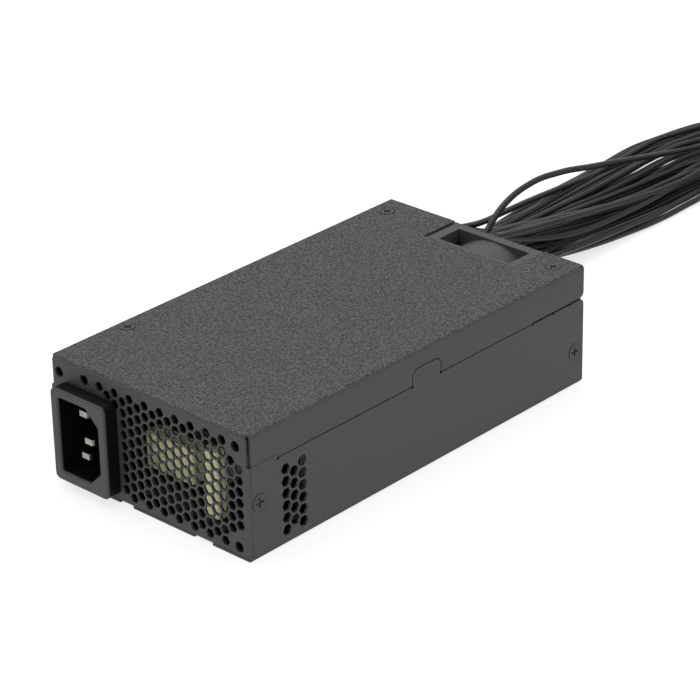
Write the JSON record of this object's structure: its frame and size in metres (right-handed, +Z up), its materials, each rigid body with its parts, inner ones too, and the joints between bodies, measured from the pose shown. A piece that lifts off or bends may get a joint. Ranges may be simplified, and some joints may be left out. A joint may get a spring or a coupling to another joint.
{
  "type": "power supply unit",
  "caption": "Slim black Flex-ATX computer power supply with a mains inlet, vented steel case, small fan and a bundle of loose output cables.",
  "frame": {"origin": "centre of the case's footprint, on the surface it stands on", "axes": "+Z up through the top cover, +Y from the mains inlet face to the fan face, +X to the right of someone facing the inlet"},
  "size_m": [0.197, 0.3883, 0.0405],
  "materials": {
    "black_coat": "fine-textured powder coat on steel sheet",
    "screw_black": "black oxide",
    "black_plastic": "matte",
    "tinned_pin": "bright tinned",
    "insulator": "smooth sheet",
    "board_green": "satin solder mask",
    "brass_standoff": "machined",
    "yellow_tape": "satin polyester tape",
    "fuse_glass": "clear",
    "epoxy_black": "moulded epoxy",
    "heatsink": "mill finish",
    "capacitor_sleeve": "shrink sleeve",
    "ferrite": "sintered ferrite",
    "copper_coil": "enamelled copper wire",
    "wire_black": "satin PVC",
    "nylon_black": "satin nylon"
  },
  "bodies": {
    "housing": {"chassis_tray": "black_coat", "top_cover": "black_coat", "cover_screw_1": "screw_black", "cover_screw_2": "screw_black", "cover_screw_3": "screw_black", "side_screw_1": "screw_black", "side_screw_2": "screw_black", "side_screw_3": "screw_black", "side_screw_4": "screw_black", "ac_inlet": "black_plastic", "inlet_pin_line": "tinned_pin", "inlet_pin_neutral": "tinned_pin", "inlet_pin_earth": "tinned_pin", "insulator_sheet": "insulator", "main_board": "board_green", "board_standoff_1": "brass_standoff", "board_standoff_2": "brass_standoff", "board_standoff_3": "brass_standoff", "board_standoff_4": "brass_standoff", "x_capacitor": "yellow_tape", "line_capacitor": "yellow_tape", "common_mode_choke": "yellow_tape", "fuse": "fuse_glass", "bridge_rectifier": "epoxy_black", "primary_heatsink": "heatsink", "bulk_capacitor": "capacitor_sleeve", "transformer_core": "ferrite", "transformer_winding": "yellow_tape", "secondary_heatsink": "heatsink", "output_choke": "copper_coil", "output_capacitor_1": "capacitor_sleeve", "output_capacitor_2": "capacitor_sleeve", "output_capacitor_3": "capacitor_sleeve", "control_board": "board_green", "fan_frame": "black_plastic", "fan_stator": "copper_coil", "fan_screw_1": "screw_black", "fan_screw_2": "screw_black", "fan_screw_3": "screw_black", "fan_screw_4": "screw_black", "fan_lead": "wire_black", "cable_grommet": "nylon_black", "atx_strand_1": "wire_black", "atx_strand_2": "wire_black", "atx_strand_3": "wire_black", "atx_strand_4": "wire_black", "cpu_strand_1": "wire_black", "cpu_strand_2": "wire_black", "sata_strand": "wire_black", "peripheral_strand": "wire_black", "atx_connector": "nylon_black", "cpu_connector": "nylon_black", "sata_connector": "nylon_black", "peripheral_connector": "nylon_black"},
    "fan_rotor": {"fan_rotor": "black_plastic"},
    "atx_latch": {"atx_latch": "nylon_black"},
    "cpu_latch": {"cpu_latch": "nylon_black"}
  },
  "joints": [
    {"name": "fan_spin", "type": "hinge", "parent": "housing", "child": "fan_rotor", "pos_m": [0.00715, 0.066, 0.0203], "axis": [0, 1, 0], "continuous": true},
    {"name": "atx_latch_press", "type": "hinge", "parent": "housing", "child": "atx_latch", "pos_m": [0.045, 0.1827, 0.0101], "axis": [1, 0, 0], "range_deg": [-6, 0], "stiffness_Nm_per_rad": 0.3},
    {"name": "cpu_latch_press", "type": "hinge", "parent": "housing", "child": "cpu_latch", "pos_m": [0.08, 0.2027, 0.0101], "axis": [1, 0, 0], "range_deg": [-6, 0], "stiffness_Nm_per_rad": 0.3}
  ]
}
